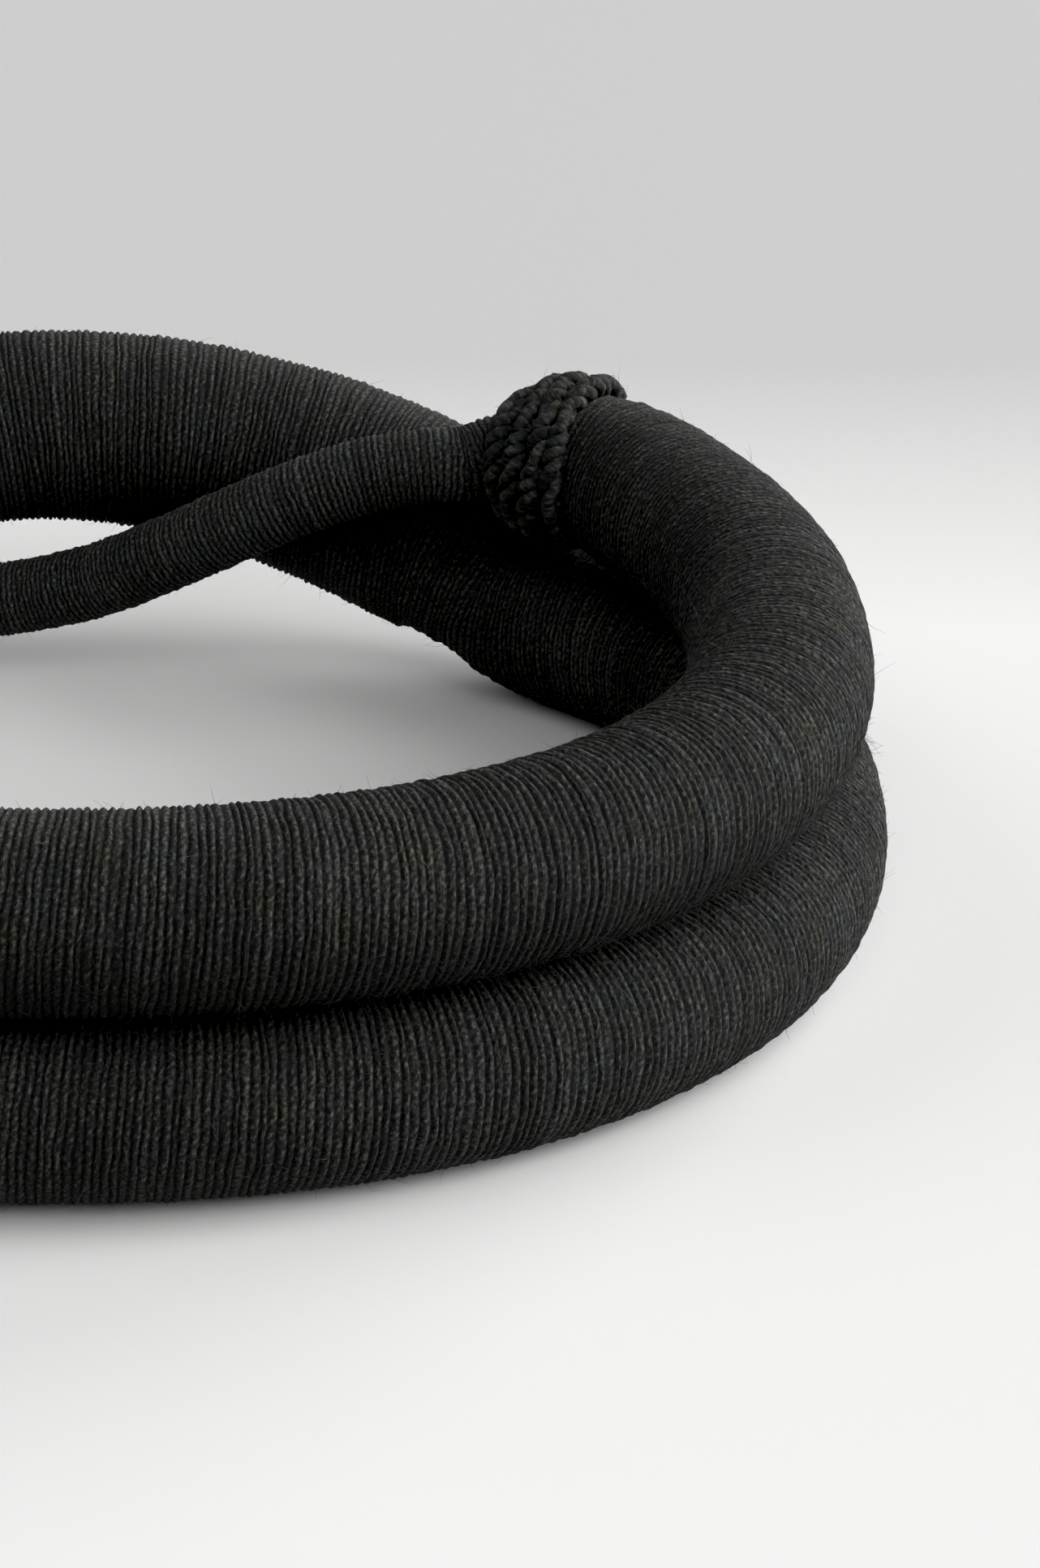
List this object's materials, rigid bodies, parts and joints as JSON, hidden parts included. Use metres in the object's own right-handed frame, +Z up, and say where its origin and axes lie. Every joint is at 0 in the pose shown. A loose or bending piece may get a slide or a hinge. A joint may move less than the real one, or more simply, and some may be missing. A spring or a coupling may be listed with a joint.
{
  "type": "igal head cord",
  "caption": "Thick black wool-wound head cord lying as an oval ring of stacked turns, its ends tied with coarse yarn and joined by a thin cord at the back crossing; worn to hold a headcloth.",
  "frame": {"origin": "on the resting surface, under the middle of the whole cord's box", "axes": "+Z up through the head opening; +X along the ring's long way; +Y to the back, where the cord crosses and the thin cord joins its ends"},
  "size_m": [0.2396, 0.2112, 0.0613],
  "materials": {
    "wound_yarn": "matt black wool yarn wound side by side round the cord, fuzzy, with fine ribs across it",
    "tie_yarn": "matt black wool yarn wound finely round the thin cord",
    "coarse_yarn": "matt black coarse twisted wool yarn"
  },
  "bodies": {
    "root": {"wound_cord": "wound_yarn", "tie_cord": "tie_yarn", "whipping_right": "coarse_yarn", "whipping_left": "coarse_yarn"}
  },
  "joints": []
}
